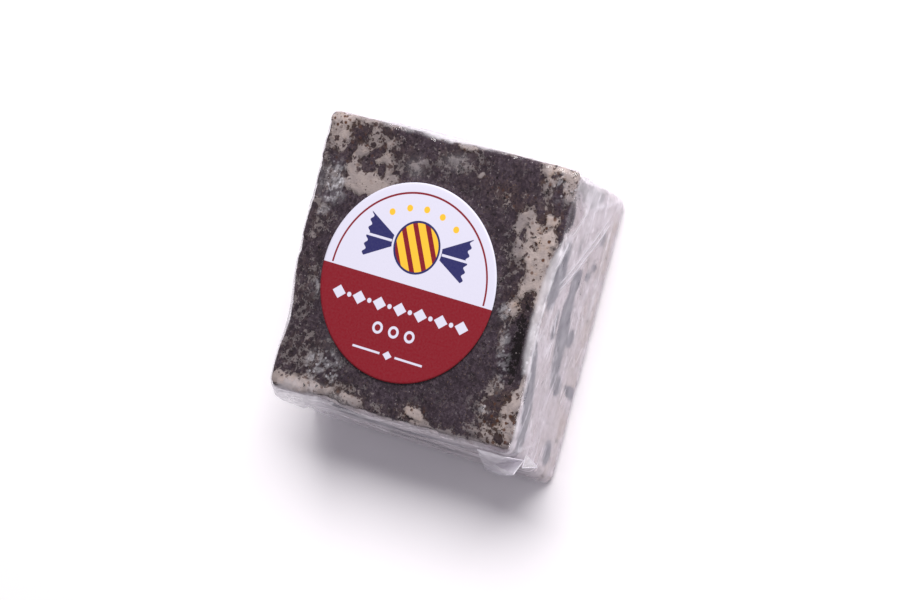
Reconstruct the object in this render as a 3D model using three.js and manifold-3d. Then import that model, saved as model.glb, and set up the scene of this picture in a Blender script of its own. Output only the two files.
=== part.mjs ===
// A hand-cut square of cookies and cream fudge, lying on its back in its clear film wrap,
// with a round paper label on top. Millimetres, +Z up, +Y towards the back edge of the label.
//
// The square was cut from a slab with a leaning knife, so its sides slant: the base sits a few
// millimetres further forward than the top. Three pieces: the fudge, the film, the label.

import * as THREE from 'three';
import { mergeVertices } from 'three/addons/utils/BufferGeometryUtils.js';
import Module from 'manifold-3d';

const wasm = await Module();
wasm.setup();

// ---- Driving dimensions -----------------------------------------------------------------

const WRAPPED_HEIGHT = 22.8;

// Corners of the wrapped block, [x, y], at its top and at its base.
const TOP_CORNERS = {
  backLeft: [-33.2, 32.3], backRight: [32.5, 31.7],
  frontLeft: [-31.9, -31.8], frontRight: [31.7, -31.6],
};
const BASE_CORNERS = {
  backLeft: [-33.0, 27.6], backRight: [33.5, 28.3],
  frontLeft: [-32.0, -36.3], frontRight: [32.6, -37.4],
};

const UPRIGHT_EDGE_RADIUS = 2.4;
const RIM_RADIUS = 1.6;

const FILM_THICKNESS = 0.3;
const AIR_GAP = 0.3;

const LABEL_DIAMETER = 44.45;
const LABEL_THICKNESS = 0.25;
const LABEL_GAP = 0.15;
const LABEL_CENTRE = { x: -3.0, y: -1.4 };
const LABEL_SIDES = 72;

// The film's two ends meet in a seam on the underside, which stays a little open.
const SEAM = { length: 42, width: 1.0, y: -16.0 };

// ---- Unevenness of the cut block, shared by the fudge and the tight film ------------------

// Where the top of a side is pulled in: which side, where along Y, how far, and the dip's length.
const WAISTS = [
  { side: 'left', y: -14, depth: 1.2, reach: 9 },
  { side: 'right', y: -2, depth: 1.6, reach: 14 },
];

// Places where fudge has broken away under the film: centre, half sizes, and depth.
const CHIPS = [
  { name: 'crack beside the right rim', at: [28.3, -9.0, 22.2], half: [1.9, 9.5, 3.5], depth: 1.7 },
  { name: 'worn right rim', at: [31.5, 3.0, 21.5], half: [3.2, 13.0, 3.5], depth: 1.2 },
  { name: 'bitten back right corner', at: [32.5, 28.0, 15.5], half: [5.5, 5.5, 5.5], depth: 2.2 },
  { name: 'nick below that corner', at: [31.0, 18.5, 21.5], half: [3.5, 4.5, 3.0], depth: 1.0 },
  { name: 'hollow under the front left rim', at: [-22.0, -33.5, 17.5], half: [9.0, 4.0, 3.2], depth: 1.5 },
  { name: 'nick in the front rim', at: [-17.5, -31.5, 22.0], half: [2.6, 3.0, 2.4], depth: 1.2 },
  { name: 'break in the front right corner', at: [27.0, -33.0, 20.0], half: [6.5, 4.0, 4.5], depth: 1.3 },
  { name: 'dip in the left rim', at: [-32.5, 14.0, 22.0], half: [3.0, 6.0, 3.0], depth: 1.0 },
  { name: 'low left rim', at: [-31.8, -16.0, 22.0], half: [2.6, 7.0, 2.6], depth: 0.8 },
];

const CRUMB = { size: 6.0, depth: 0.55 };
const RIM_CRUMBLE = { size: 3.6, depth: 0.9 };

// Where the film stands off the block: a ridge from one point to another, its half width, lift.
const GATHERS = [
  { name: 'front left tent', from: [-33, -32.5, 21], to: [-24, -33, 17], width: 3.2, lift: 1.6 },
  { name: 'front right fold', from: [23, -34.5, 12], to: [31, -34.5, 15], width: 3.2, lift: 1.5 },
  { name: 'loose overlap at the back', from: [-24, 31, 17], to: [4, 31, 17.5], width: 3.6, lift: 1.3 },
  { name: 'long crease on the right', from: [32, 5, 18.5], to: [33, 23, 2.5], width: 2.2, lift: 0.8 },
  { name: 'bridge off the right rim', from: [32, 8, 21.5], to: [33, 28, 18], width: 3.0, lift: 0.6 },
];

// ---- The rounded, slanted block ------------------------------------------------------------

const HALF = new THREE.Vector3(32.5, 32.0, WRAPPED_HEIGHT / 2);
const EDGE_RADII = new THREE.Vector3(UPRIGHT_EDGE_RADIUS, UPRIGHT_EDGE_RADIUS, RIM_RADIUS);
const CORE = HALF.clone().sub(EDGE_RADII);

// Grid steps along X, Y and Z; three steps at each end go round the edge.
const STEPS = [22, 22, 10];
const EDGE_STEPS = [0, 0.12, 0.45, 1];

function gridLines(half, radius, steps) {
  const rim = EDGE_STEPS.map((share) => half - radius * share);
  const inner = steps - 2 * (EDGE_STEPS.length - 1);
  const flat = half - radius;
  const lines = rim.map((place) => -place);
  for (let i = 1; i < inner; i++) {
    lines.push(-flat + (2 * flat * i) / inner);
  }
  return lines.concat(rim.reverse());
}

const LINES = [
  gridLines(HALF.x, EDGE_RADII.x, STEPS[0]),
  gridLines(HALF.y, EDGE_RADII.y, STEPS[1]),
  gridLines(HALF.z, EDGE_RADII.z, STEPS[2]),
];

function bell(distance) {
  return Math.exp(-distance * distance);
}

// How squarely a share of the outward normal faces one way: 1 on a flat face, low on an edge.
const FACE_SHARPNESS = 4;

function squareness(share) {
  return Math.abs(share) ** FACE_SHARPNESS;
}

// Round a point of the plain box on to the box with rounded edges, and give its outward normal.
function roundEdges(onBox) {
  const core = onBox.clone().clamp(CORE.clone().negate(), CORE);
  const beyond = onBox.clone().sub(core).divide(EDGE_RADII).normalize();
  const place = core.add(beyond.clone().multiply(EDGE_RADII));
  return { place, outward: beyond.divide(EDGE_RADII).normalize() };
}

function blend(corners, across, along, axis) {
  const front = THREE.MathUtils.lerp(corners.frontLeft[axis], corners.frontRight[axis], across);
  const back = THREE.MathUtils.lerp(corners.backLeft[axis], corners.backRight[axis], across);
  return THREE.MathUtils.lerp(front, back, along);
}

// Carry a point of the straight block on to the slanted one, whose base stands at z = 0.
function slant(place) {
  const across = (place.x / HALF.x + 1) / 2;
  const along = (place.y / HALF.y + 1) / 2;
  const up = (place.z / HALF.z + 1) / 2;
  const mix = (axis) => THREE.MathUtils.lerp(
    blend(BASE_CORNERS, across, along, axis), blend(TOP_CORNERS, across, along, axis), up);
  const result = new THREE.Vector3(mix(0), mix(1), up * WRAPPED_HEIGHT);
  for (const { side, y, depth, reach } of WAISTS) {
    const pull = depth * up * bell((result.y - y) / reach);
    result.x += side === 'left' ? pull * (1 - across) : -pull * across;
  }
  return result;
}

// A block of the wrapped shape, inset on all sides, and moved on by push(point, outward) mm.
function blockGeometry(inset, push) {
  const box = new THREE.BoxGeometry(2, 2, 2, ...STEPS);
  box.deleteAttribute('normal');
  box.deleteAttribute('uv');
  const geometry = mergeVertices(box);
  const points = geometry.getAttribute('position');
  const line = (value, axis) => LINES[axis][Math.round(((value + 1) / 2) * STEPS[axis])];
  for (let i = 0; i < points.count; i++) {
    const onBox = new THREE.Vector3(
      line(points.getX(i), 0), line(points.getY(i), 1), line(points.getZ(i), 2));
    const { place, outward } = roundEdges(onBox);
    const point = slant(place).addScaledVector(outward, -inset);
    point.addScaledVector(outward, push(point, outward));
    points.setXYZ(i, point.x, point.y, Math.max(point.z, inset));
  }
  return geometry;
}

// ---- Relief of the fudge -------------------------------------------------------------------

// A fixed scatter of values from 0 to 1 over whole-numbered points.
const SCATTER = { direction: new THREE.Vector3(127.1, 311.7, 74.7), gain: 43758.5453 };

function lattice(x, y, z) {
  const wave = Math.sin(SCATTER.direction.dot(new THREE.Vector3(x, y, z))) * SCATTER.gain;
  return wave - Math.floor(wave);
}

// Smooth noise from 0 to 1, with lumps about one unit across.
function lumps(point, size) {
  const scaled = point.clone().divideScalar(size);
  const cell = scaled.clone().floor();
  const part = scaled.clone().sub(cell);
  const ease = (t) => t * t * (3 - 2 * t);
  const lerp = THREE.MathUtils.lerp;
  const row = (dy, dz) => lerp(
    lattice(cell.x, cell.y + dy, cell.z + dz),
    lattice(cell.x + 1, cell.y + dy, cell.z + dz), ease(part.x));
  const layer = (dz) => lerp(row(0, dz), row(1, dz), ease(part.y));
  return lerp(layer(0), layer(1), ease(part.z));
}

function chipDepth(point) {
  let deepest = 0;
  for (const { at, half, depth } of CHIPS) {
    const away = point.clone().sub(new THREE.Vector3(...at)).divide(new THREE.Vector3(...half));
    deepest = Math.max(deepest, depth * bell(away.length()));
  }
  return deepest;
}

// The fudge is broken inwards only, and the relief dies out round the base rim, so that the
// underside stays flat.
const BASE_FADE = { start: 0.2, end: 0.7 };

function fudgeRelief(point, outward) {
  const lying = THREE.MathUtils.smoothstep(-outward.z, BASE_FADE.start, BASE_FADE.end);
  const onRim = 1 - Math.max(...outward.toArray().map(squareness));
  const depth = CRUMB.depth * lumps(point, CRUMB.size)
    + RIM_CRUMBLE.depth * onRim * lumps(point, RIM_CRUMBLE.size)
    + chipDepth(point);
  return -depth * (1 - lying);
}

// ---- Folds of the film -----------------------------------------------------------------------

// The film lies flat under the label and on the underside, and stands up along its gathers.
function filmFolds(point, outward) {
  let lift = 0;
  for (const { from, to, width, lift: height } of GATHERS) {
    const ridge = new THREE.Line3(new THREE.Vector3(...from), new THREE.Vector3(...to));
    const nearest = ridge.closestPointToPoint(point, true, new THREE.Vector3());
    lift = Math.max(lift, height * bell(nearest.distanceTo(point) / width));
  }
  return lift * (1 - squareness(outward.z));
}

// ---- Cutting -----------------------------------------------------------------------------------

function toSolid(geometry) {
  const bare = geometry.clone();
  bare.deleteAttribute('normal');
  bare.deleteAttribute('uv');
  const merged = mergeVertices(bare);
  return new wasm.Manifold(new wasm.Mesh({
    numProp: 3,
    vertProperties: new Float32Array(merged.getAttribute('position').array),
    triVerts: new Uint32Array(merged.index.array),
  }));
}

function toGeometry(solid) {
  const mesh = solid.getMesh();
  const geometry = new THREE.BufferGeometry();
  geometry.setAttribute('position', new THREE.BufferAttribute(mesh.vertProperties, 3));
  geometry.setIndex(new THREE.BufferAttribute(mesh.triVerts, 1));
  return geometry;
}

// ---- The pieces ----------------------------------------------------------------------------------

const unfolded = () => 0;

function makeFudge() {
  const geometry = blockGeometry(FILM_THICKNESS + AIR_GAP, fudgeRelief);
  geometry.computeVertexNormals();
  const material = new THREE.MeshStandardMaterial({ color: 0x4a4242, roughness: 0.8, metalness: 0 });
  const fudge = new THREE.Mesh(geometry, material);
  fudge.name = 'fudge';
  return fudge;
}

function makeFilm() {
  const outside = toSolid(blockGeometry(0, filmFolds));
  const inside = toSolid(blockGeometry(FILM_THICKNESS, unfolded));
  const seamHeight = 2 * FILM_THICKNESS + AIR_GAP;
  const seamBox = new THREE.BoxGeometry(SEAM.length, SEAM.width, seamHeight);
  seamBox.translate(0, SEAM.y, 0);
  const geometry = toGeometry(outside.subtract(inside).subtract(toSolid(seamBox)));
  geometry.computeVertexNormals();
  const material = new THREE.MeshStandardMaterial({
    color: 0xe8e6ee, roughness: 0.15, metalness: 0, transparent: true, opacity: 0.3,
  });
  const film = new THREE.Mesh(geometry, material);
  film.name = 'film';
  return film;
}

function makeLabel() {
  const radius = LABEL_DIAMETER / 2;
  const geometry = new THREE.CylinderGeometry(radius, radius, LABEL_THICKNESS, LABEL_SIDES);
  const material = new THREE.MeshStandardMaterial({ color: 0xe4e2f0, roughness: 0.5, metalness: 0 });
  const label = new THREE.Mesh(geometry, material);
  label.name = 'label';
  label.rotation.x = Math.PI / 2;
  label.position.set(
    LABEL_CENTRE.x, LABEL_CENTRE.y, WRAPPED_HEIGHT + LABEL_GAP + LABEL_THICKNESS / 2);
  return label;
}

// ---- The part, with its origin under the middle of its box ----------------------------------------

const wrappedFudge = new THREE.Group();
wrappedFudge.add(makeFudge(), makeFilm(), makeLabel());
wrappedFudge.updateMatrixWorld(true);
const bounds = new THREE.Box3().setFromObject(wrappedFudge);
const middle = bounds.getCenter(new THREE.Vector3());
wrappedFudge.position.set(-middle.x, -middle.y, -bounds.min.z);

export default wrappedFudge;
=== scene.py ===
# %% [markdown]
# # A wrapped square of cookies and cream fudge
#
# This lesson dresses a measured model: a hand-cut block of fudge, the clear film round it, and
# the round paper label. The model gives the sizes, and Blender gives the looks: the marbling,
# the crumbly relief, the film's folds and shine. The first lines load the model's three parts,
# called fudge, film and label.

# %% The measured model
import math

import bpy
import numpy as np
from mathutils import Matrix, Vector


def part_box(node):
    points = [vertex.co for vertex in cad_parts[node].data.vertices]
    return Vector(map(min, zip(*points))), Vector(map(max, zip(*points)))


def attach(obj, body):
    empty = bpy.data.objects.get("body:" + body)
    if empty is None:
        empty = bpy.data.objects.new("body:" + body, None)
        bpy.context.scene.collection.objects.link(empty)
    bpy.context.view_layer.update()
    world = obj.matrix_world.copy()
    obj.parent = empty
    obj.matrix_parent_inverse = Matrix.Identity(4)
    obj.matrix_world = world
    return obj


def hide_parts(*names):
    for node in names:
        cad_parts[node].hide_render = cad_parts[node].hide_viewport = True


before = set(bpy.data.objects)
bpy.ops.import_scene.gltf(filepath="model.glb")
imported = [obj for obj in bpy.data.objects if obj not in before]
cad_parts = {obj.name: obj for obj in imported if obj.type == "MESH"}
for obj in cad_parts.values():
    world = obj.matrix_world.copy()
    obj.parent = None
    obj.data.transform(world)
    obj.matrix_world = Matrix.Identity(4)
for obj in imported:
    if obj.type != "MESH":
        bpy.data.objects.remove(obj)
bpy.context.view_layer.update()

MM = 0.001

# %% [markdown]
# ## Where things are
#
# A maker measures fudge from the middle of the block. So do we: the label sits 3 mm left of the
# middle and 1.4 mm in front of it, so its box tells us where the middle is. Every place below is
# in millimetres from that middle, with heights from the table up.

# %% The middle, and the way from millimetres to the model
label_low, label_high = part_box("label")
LABEL_CENTRE = np.array([-3.0, -1.4])
LABEL_RADIUS = (label_high.x - label_low.x) / 2 / MM
LABEL_TOP = label_high.z / MM
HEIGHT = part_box("film")[1].z / MM
MIDDLE = np.array([
    (label_low.x + label_high.x) / 2 / MM - LABEL_CENTRE[0],
    (label_low.y + label_high.y) / 2 / MM - LABEL_CENTRE[1],
    0.0,
])


def to_model(points):
    """Millimetres from the block's middle, as metres in the model."""
    return (np.asarray(points, float) + MIDDLE) * MM


print("label radius", round(LABEL_RADIUS, 2), "mm, wrapped height", round(HEIGHT, 2), "mm")

# %% [markdown]
# ## The camera
#
# The photograph was taken with a long lens from about three quarters of a metre, high above the
# block and off its right side. Three arrows say which way the camera's right side, top and back
# point. They were found from the label, a true circle that shows as an ellipse.

# %% The camera
CAMERA_FROM_LABEL = Vector((372.6, 16.8, 639.8)) * MM
CAMERA_RIGHT = Vector((0.84148, 0.24487, -0.48161))
CAMERA_TOP = Vector((-0.22501, 0.96925, 0.09967))
LENS_MM = 135
SENSOR_MM = 36


def new_object(name, data):
    """Put an object that shows the data into the scene."""
    made = bpy.data.objects.new(name, data)
    bpy.context.scene.collection.objects.link(made)
    return made


camera_data = bpy.data.cameras.new("camera")
camera_data.lens = LENS_MM
camera_data.sensor_width = SENSOR_MM
camera = new_object("camera", camera_data)
camera_back = CAMERA_RIGHT.cross(CAMERA_TOP)
label_middle = Vector(to_model([*LABEL_CENTRE, LABEL_TOP]))
turn = Matrix((CAMERA_RIGHT, CAMERA_TOP, camera_back)).transposed().to_4x4()
camera.matrix_world = Matrix.Translation(label_middle + CAMERA_FROM_LABEL) @ turn
bpy.context.scene.camera = camera
print("camera to label", round(CAMERA_FROM_LABEL.length, 3), "m")

# %% [markdown]
# ## Floor and light
#
# A product table: a white floor, a white room for even light, and soft lamps. The strong one is
# behind the block, up high, and throws the soft shadow forward. A weaker one fills the right
# side, and a faint one lifts the front, as a white card would.

# %% Floor, room and lamps
ROOM_LIGHT = 0.15
# name, the way it comes from, how far away, how wide and high, and its power
LAMPS = [
    ("softbox_behind", (0.10, 0.69, 0.715), 0.9, (0.92, 0.50), 13.5),
    ("softbox_right", (0.95, 0.10, 0.20), 1.1, (0.60, 0.36), 3.7),
    ("card_front_left", (-0.70, -0.66, 0.21), 0.9, (0.50, 0.36), 2.0),
]
FLOOR_HALF = 3.0


def material(name, *pieces):
    """Give the pieces a new material. The node words that follow lay nodes on its board."""
    global board
    made = bpy.data.materials.new(name)
    made.use_nodes = True
    board = made.node_tree
    board.nodes.clear()
    for piece in pieces:
        piece.data.materials.append(made)


def put(kind, inputs=None, **settings):
    """Add a shader node. Inputs are by name or number: sockets are linked, plain values set."""
    node = board.nodes.new("ShaderNode" + kind)
    for setting, value in settings.items():
        setattr(node, setting, value)
    for key, value in (inputs or {}).items():
        value = getattr(value, "socket", value)
        if isinstance(value, bpy.types.NodeSocket):
            board.links.new(value, node.inputs[key])
        else:
            node.inputs[key].default_value = value
    return node


def show(skin):
    """Join the finished surface to the material's output."""
    put("OutputMaterial", {0: skin.outputs[0]})


print("the words for materials are ready")

# %% The floor
floor_mesh = bpy.data.meshes.new("floor")
corners = [(x * FLOOR_HALF, y * FLOOR_HALF, 0) for x, y in ((-1, -1), (1, -1), (1, 1), (-1, 1))]
floor_mesh.from_pydata(corners, [], [(0, 1, 2, 3)])
floor = new_object("floor", floor_mesh)
material("white_table", floor)
show(put("BsdfDiffuse", {"Color": (0.985, 0.955, 0.99, 1)}))
print("the table is", 2 * FLOOR_HALF, "m wide")

# %% The room and its lamps
room = bpy.data.worlds.new("room")
bpy.context.scene.world = room
room.use_nodes = True
background = room.node_tree.nodes["Background"]
background.inputs["Color"].default_value = (0.98, 0.94, 1.10, 1)
background.inputs["Strength"].default_value = ROOM_LIGHT

for name, came_from, distance, (width, height), watts in LAMPS:
    lamp_data = bpy.data.lights.new(name, "AREA")
    lamp_data.shape = "RECTANGLE"
    lamp_data.size = width
    lamp_data.size_y = height
    lamp_data.energy = watts
    lamp_data.color = (1.0, 0.985, 0.975)
    lamp = new_object(name, lamp_data)
    lamp.visible_glossy = not name.startswith("card")
    lamp.location = label_middle + Vector(came_from).normalized() * distance
    lamp.rotation_mode = "QUATERNION"
    lamp.rotation_quaternion = Vector(came_from).to_track_quat("Z", "Y")
bpy.context.scene.view_settings.view_transform = "Standard"
print("floor, room and", len(LAMPS), "softboxes are up")

# %% [markdown]
# ## Noise for food
#
# Nothing in food is even, so we need repeatable chance. `lumps` is soft noise: hills and dips
# about one size across. `crumbs` breaks space into grains like packed biscuit crumb: it gives the
# distance to the nearest grain's middle and one fixed chance value for each grain. Both work on
# all points at once, because a loop over points would be slow.

# %% Soft noise
def chance(cells, seed):
    """A fixed value from 0 to 1 for each whole-numbered cell."""
    c = cells.astype(np.int64)
    mixed = c[..., 0] * 374761393 + c[..., 1] * 668265263 + c[..., 2] * 1274126177
    mixed = (mixed + seed * 974634777) & 0xFFFFFFFF
    for shift, factor in ((13, 1103515245), (16, 1540483477)):
        mixed = ((mixed ^ (mixed >> shift)) * factor) & 0xFFFFFFFF
    return ((mixed ^ (mixed >> 15)) & 0xFFFFFFFF) / 2.0 ** 32


def ease(share):
    """Slow at both ends, from 0 to 1."""
    share = np.clip(share, 0, 1)
    return share * share * (3 - 2 * share)


def lumps(points, size, seed=0):
    """Soft noise from 0 to 1 with hills about `size` millimetres across."""
    scaled = points / size
    cell = np.floor(scaled)
    part = ease(scaled - cell)
    total = np.zeros(len(points))
    for corner in np.ndindex(2, 2, 2):
        weight = np.prod(np.where(corner, part, 1 - part), axis=1)
        total += weight * chance(cell + corner, seed)
    return total


def rough(points, size, layers=3, seed=0):
    """Soft noise with finer and fainter layers on top, still from 0 to 1."""
    total = np.zeros(len(points))
    strength = 1.0
    reach = 0.0
    for layer in range(layers):
        total += strength * lumps(points, size / 2 ** layer, seed + 17 * layer)
        reach += strength
        strength *= 0.55
    return total / reach


print("soft noise is ready")

# %% Grains like packed crumb
def crumbs(points, size, seed=0):
    """For each point: distance to its grain's middle, and the grain's own chance value."""
    scaled = points / size
    cell = np.floor(scaled)
    nearest = np.full(len(points), 9.0)
    fate = np.zeros(len(points))
    for step in np.ndindex(3, 3, 3):
        other = cell + np.array(step) - 1
        middle = other + np.stack([chance(other, seed + axis) for axis in (1, 2, 3)], axis=1)
        distance = np.linalg.norm(scaled - middle, axis=1)
        closer = distance < nearest
        fate = np.where(closer, chance(other, seed + 4), fate)
        nearest = np.where(closer, distance, nearest)
    return nearest, fate


def bell(distance):
    return np.exp(-distance * distance)


print("grains are ready")

# %% [markdown]
# ## The shape of the block
#
# The knife leaned, so the sides slant and the base sits further forward than the top. We could
# drag the corners of a cube, but every later detail would need the mouse again. Instead a
# function bends a ruled box on to the real corners, and fudge and film both use it.

# %% Corners, edges and waists of the cut block
# back left, back right, front left, front right
TOP_CORNERS = ((-33.6, 32.5), (32.5, 31.8), (-32.3, -31.8), (31.7, -31.6))
BASE_CORNERS = ((-33.2, 27.6), (32.9, 28.3), (-32.2, -36.3), (32.4, -37.4))
HALF = np.array([32.5, 32.0, HEIGHT / 2])
RADII = np.array([2.4, 2.4, 1.6])       # of the upright edges, and the rims' own in height
EDGE_STEPS = 7
# Where the top of a side is pulled in: side, place along Y, depth, length.
WAISTS = [("left", -14, 0.9, 7), ("left", 6, -0.4, 16), ("right", -2, 0.6, 14)]


def round_edges(points):
    """Move points of a plain box on to the box with rounded edges; also their outward arrows."""
    core = np.clip(points, RADII - HALF, HALF - RADII)
    beyond = (points - core) / RADII
    beyond /= np.linalg.norm(beyond, axis=1, keepdims=True)
    arrows = beyond / RADII
    arrows /= np.linalg.norm(arrows, axis=1, keepdims=True)
    return core + beyond * RADII, arrows


def slant(points):
    """Carry points of the straight block on to the slanted one that stands on the table."""
    across, along, up = ((points / HALF + 1) / 2).T
    level = []
    for back_left, back_right, front_left, front_right in (BASE_CORNERS, TOP_CORNERS):
        front = np.outer(1 - across, front_left) + np.outer(across, front_right)
        back = np.outer(1 - across, back_left) + np.outer(across, back_right)
        level.append(front * (1 - along)[:, None] + back * along[:, None])
    placed = np.column_stack([level[0] * (1 - up)[:, None] + level[1] * up[:, None], up * HEIGHT])
    for side, y, depth, reach in WAISTS:
        pull = depth * up * bell((placed[:, 1] - y) / reach)
        placed[:, 0] += pull * (1 - across) if side == "left" else -pull * across
    return placed


print(len(TOP_CORNERS) + len(BASE_CORNERS), "corners and", len(WAISTS), "waists")

# %% A closed skin, ruled closely round its edges
def ruled(half, radius, step):
    """Places of the ruling lines along one side: close together round both edges."""
    flat = half - radius
    edge = np.linspace(flat, half, EDGE_STEPS + 1)[1:]
    inner = np.linspace(-flat, flat, 2 * round(flat / step) + 1)
    return np.concatenate([-edge[::-1], inner, edge])


def box_shell(lines, plain_base=False):
    """Points and faces of a closed box ruled along the given lines."""
    counts = [len(line) for line in lines]
    skin = np.ones(counts, bool)
    skin[1:-1, 1:-1, 1:-1] = False
    if plain_base:
        skin[EDGE_STEPS + 1:-EDGE_STEPS - 1, EDGE_STEPS + 1:-EDGE_STEPS - 1, 0] = False
    number = np.full(counts, -1)
    number[skin] = np.arange(skin.sum())
    i, j, k = np.nonzero(skin)
    points = np.column_stack([lines[0][i], lines[1][j], lines[2][k]])
    faces = []
    sides = [
        (number[:, :, -1], False), (number[:, :, 0], True), (number[-1], False),
        (number[0], True), (number[:, 0], False), (number[:, -1], True),
    ]
    for grid, flipped in sides:
        ring = [grid[:-1, :-1], grid[1:, :-1], grid[1:, 1:], grid[:-1, 1:]]
        quads = np.stack([corner.ravel() for corner in ring], axis=1)
        quads = quads[(quads >= 0).all(axis=1)]
        faces += (quads[:, ::-1] if flipped else quads).tolist()
    if plain_base:
        inner = number[EDGE_STEPS:-EDGE_STEPS, EDGE_STEPS:-EDGE_STEPS, 0]
        loop = np.concatenate([inner[:-1, 0], inner[-1, :-1], inner[:0:-1, -1], inner[0, :0:-1]])
        faces.append(loop[::-1].tolist())
    return points, faces


def block_skin(steps, plain_base=False):
    """The block's skin, ruled this finely: points, faces, the straight block's points, arrows."""
    points, faces = box_shell([ruled(*side) for side in zip(HALF, RADII, steps)], plain_base)
    straight, arrows = round_edges(points)
    return slant(straight), faces, straight, arrows


def new_piece(name, points, faces, **values):
    """A smooth mesh object from millimetre points. Each value is a number per point, by name."""
    mesh = bpy.data.meshes.new(name)
    mesh.from_pydata(to_model(points).tolist(), [], faces)
    mesh.shade_smooth()
    for key, numbers in values.items():
        layer = mesh.attributes.new(key, "FLOAT", "POINT")
        layer.data.foreach_set("value", np.asarray(numbers, np.float32))
    return new_object(name, mesh)


print("block", round(HALF[0] * 2, 1), "by", round(HALF[1] * 2, 1), "by", round(HALF[2] * 2, 1), "mm")

# %% [markdown]
# ## Marbling
#
# The slab was stirred, poured and cut: the big face is mostly packed cookie crumb with islands
# of cream, and the cut sides are cream with long streaks of cookie. Each one below is an oval at
# its real place. Noise pushes the points about first, so no oval is ever seen.

# %% Islands of cream on the big face
def rows(text):
    """A plain table: a name, a colon, then rows of numbers with commas between the rows."""
    table = []
    for line in text.strip().splitlines():
        *given, numbers = line.split(":")
        name = given[0] if given else name
        table += [(name, *map(float, row.split())) for row in numbers.split(",")]
    return table


# across, along, half length, half width, turn in degrees, strength
CREAM_ISLANDS = rows("""
back left corner: -30.5 30.6 4.4 2.4 -8 .78, -28.6 26.6 4.4 4.2 0 .74, -22 31.6 10 .9 -1 .72
    -19.5 28 6 2.2 -8 .64
the big island: -22.6 23.6 3.6 3 10 .76, -21.6 20 5.2 3 0 .95, -16.6 22.6 3.2 2.6 -35 .68
    -19.5 17.2 6 2.2 4 1.1, -13.8 19.6 2.4 1.3 10 .8
left rim: -29.8 16.6 3.4 4.4 20 .5, -30.5 8 2.4 4 0 .45
behind the label: -7.8 24 3.4 1.8 35 .74, 2 27 4.6 1.1 -8 .68, 8.4 25.5 1 .8 0 .8, 2.6 31 2.6 .9 0 .85
    -4.4 32.2 4 .9 0 .8, 13 31.8 2.8 .7 0 .8
back right corner: 27.4 30.2 5.6 2.1 -6 1.05, 25 27.6 3 1.8 30 .72, 30.8 26.6 3 3.4 20 .78
    31.6 22.8 1.6 2.6 0 .66
right rim: 22.6 17 3.4 4 25 .98, 22.6 12.6 2.6 3.4 10 .86, 27.4 16.6 3.2 4.2 0 1.1
    26.6 10.8 3.2 4.6 8 1.05, 27.6 4.6 3.8 5 0 1.02, 31.6 -3 2.1 11 2 1.05, 31 -14 1.5 5 0 .95
above the crack: 24.4 -.6 3.6 2 25 .86, 23 -6.6 1.5 3.4 12 .58, 23 -19.6 1.2 1.4 0 .5
    18.7 -18 1.3 1.2 0 .52
lower right: 28.8 -20.6 2.8 3.6 -8 .98, 29.4 -27 2.4 4.4 0 .8, 24.6 -29.4 6 1.8 -10 .66
    20.4 -23.2 1.8 1.8 0 .5
front rim: 6.2 -28.9 2.4 1.2 -25 1.1, -24 -29.5 8.2 2 2 1.1, -29.5 -28.6 2.8 2.2 20 .9
    -10.4 -29.8 4 1.5 -8 .92, 14 -31.2 13 .8 -1 .7
faint spots: -26.6 -8.2 4.4 2.2 10 .5, -28.6 -19.6 4 3.4 -10 .46, -18.4 -19.4 2.2 2.4 -30 .52
    -14.2 -21.6 1.4 2.4 25 .5, -19 -25 4.2 2.6 0 .42, -30.2 -4 2.2 3.4 0 .44, 21 4 2 4.4 0 .42
""")
# Wide places where cookie and cream are mixed half and half.
SPECKLED_PLACES = rows("""
speckled: -23 24 11.5 9.5 0 .5, -30 9 4 6.5 0 .46, -29 -8 4.5 8 0 .42, -25 -22 8.5 6 0 .44
    24.5 11 6.5 12 0 .46, 29 25 5 7 0 .46, 24.5 -3 3.6 6 0 .5, 26 -23 5.5 8.5 0 .56, 1 27.5 10 3.4 0 .38
    -9 25 6 4 0 .4, 2 -30.5 24 1.6 0 .4, -19 -28.4 14 2.4 0 .54
""")
# Clumps of cookie that sit inside the cream.
COOKIE_CLUMPS = rows("""
clumps: -20.9 21.9 1.7 1.4 0 1, -19.7 24.2 2 1 35 .9, -25.9 24.8 1 1.8 0 .8, -16.8 21.4 1.2 1 0 .7
    -28.6 21.6 2.6 1.8 0 .4, 26.8 17.4 1.6 .8 30 .6, 22.2 14.6 .9 1.2 0 .6, 25.8 13.2 .8 1 0 .5
    30.4 17.2 1.5 2 20 1.2, -24.4 28.4 2.4 1.5 0 .45, -22 12.6 8 2 0 .45, 26.8 29.2 1.4 .6 25 .9
    28 24.2 1 3 8 1, 32.6 20.2 2.2 3 -20 1.4, 25 19 1 1.8 15 .9, 21.9 15.8 .6 1.8 -20 .7
    23.6 5 1.4 2 0 .4, 27.6 2.6 1.3 1.1 20 .9, 26.6 .8 1.8 1.2 0 .8, 27.2 -9.8 2.2 8.8 2 1.4
    25.2 -22.6 1.8 3.6 8 .45, 28 -28.6 1.5 1.2 0 .6
""")
# Where the cream is warm and bright, with rusty specks; elsewhere it is greyish.
WARM_PLACES = rows("""
warm: 27 14 3.6 8 0 1, 28.2 4 3 6 0 .8, 28.5 29 5 4 0 .8, -29.6 29.4 5 4.4 0 1, 16.5 22.5 8.5 2.4 -10 .6
    -23 25 9 6.5 0 .52, 27 -24.5 4.6 7 0 1, 25.6 1.6 3.6 4 0 .8, -22 -30 12 2.4 0 1, 6.2 -28.9 3 2 0 .7
    2.6 31 3.4 1.2 0 .9
""")
print(len(CREAM_ISLANDS), "ovals of cream and", len(COOKIE_CLUMPS), "clumps in them")

# %% [markdown]
# On the sides a streak is stored as its place along the side and its height. The milky film
# blurs them, so their edges are soft.

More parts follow.
